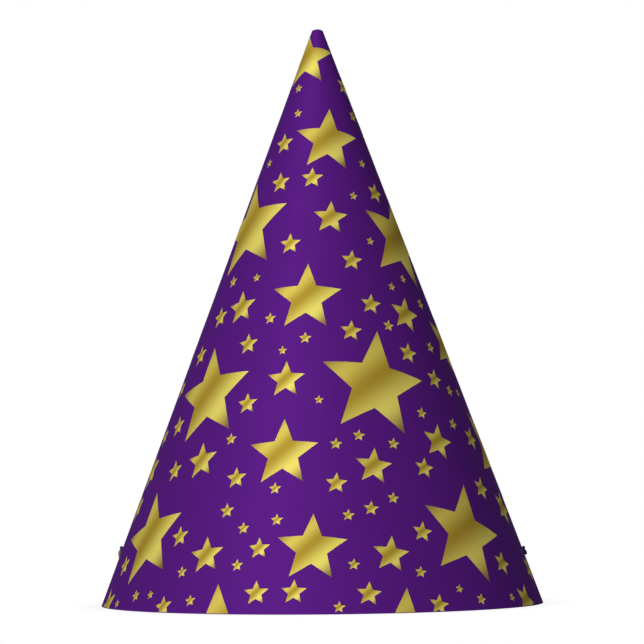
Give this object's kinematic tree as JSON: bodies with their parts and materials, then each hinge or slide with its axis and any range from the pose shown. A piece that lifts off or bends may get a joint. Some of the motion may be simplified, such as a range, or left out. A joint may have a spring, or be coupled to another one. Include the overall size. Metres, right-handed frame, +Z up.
{
  "type": "new year party hat",
  "caption": "Cone-shaped paper party hat, purple with gold star print, closed by a glued back lap, with a knotted elastic chin cord tucked inside.",
  "frame": {"origin": "middle of the open rim, in the plane that the hat stands on", "axes": "+Z up the cone's axis to its point, -Y to the front, +Y to the glued lap at the back, +X to the right as seen from the front"},
  "size_m": [0.136, 0.1365, 0.177],
  "materials": {
    "printed_card": "satin",
    "adhesive": "satin",
    "gold_ink": "satin",
    "elastic": "matte"
  },
  "bodies": {
    "root": {"card_cone": "printed_card", "seam_adhesive_strip": "adhesive", "large_gold_stars": "gold_ink", "broad_gold_stars": "gold_ink", "medium_gold_stars": "gold_ink", "small_gold_stars": "gold_ink", "tiny_gold_stars": "gold_ink", "chin_elastic": "elastic", "left_knot": "elastic", "right_knot": "elastic"}
  },
  "joints": []
}
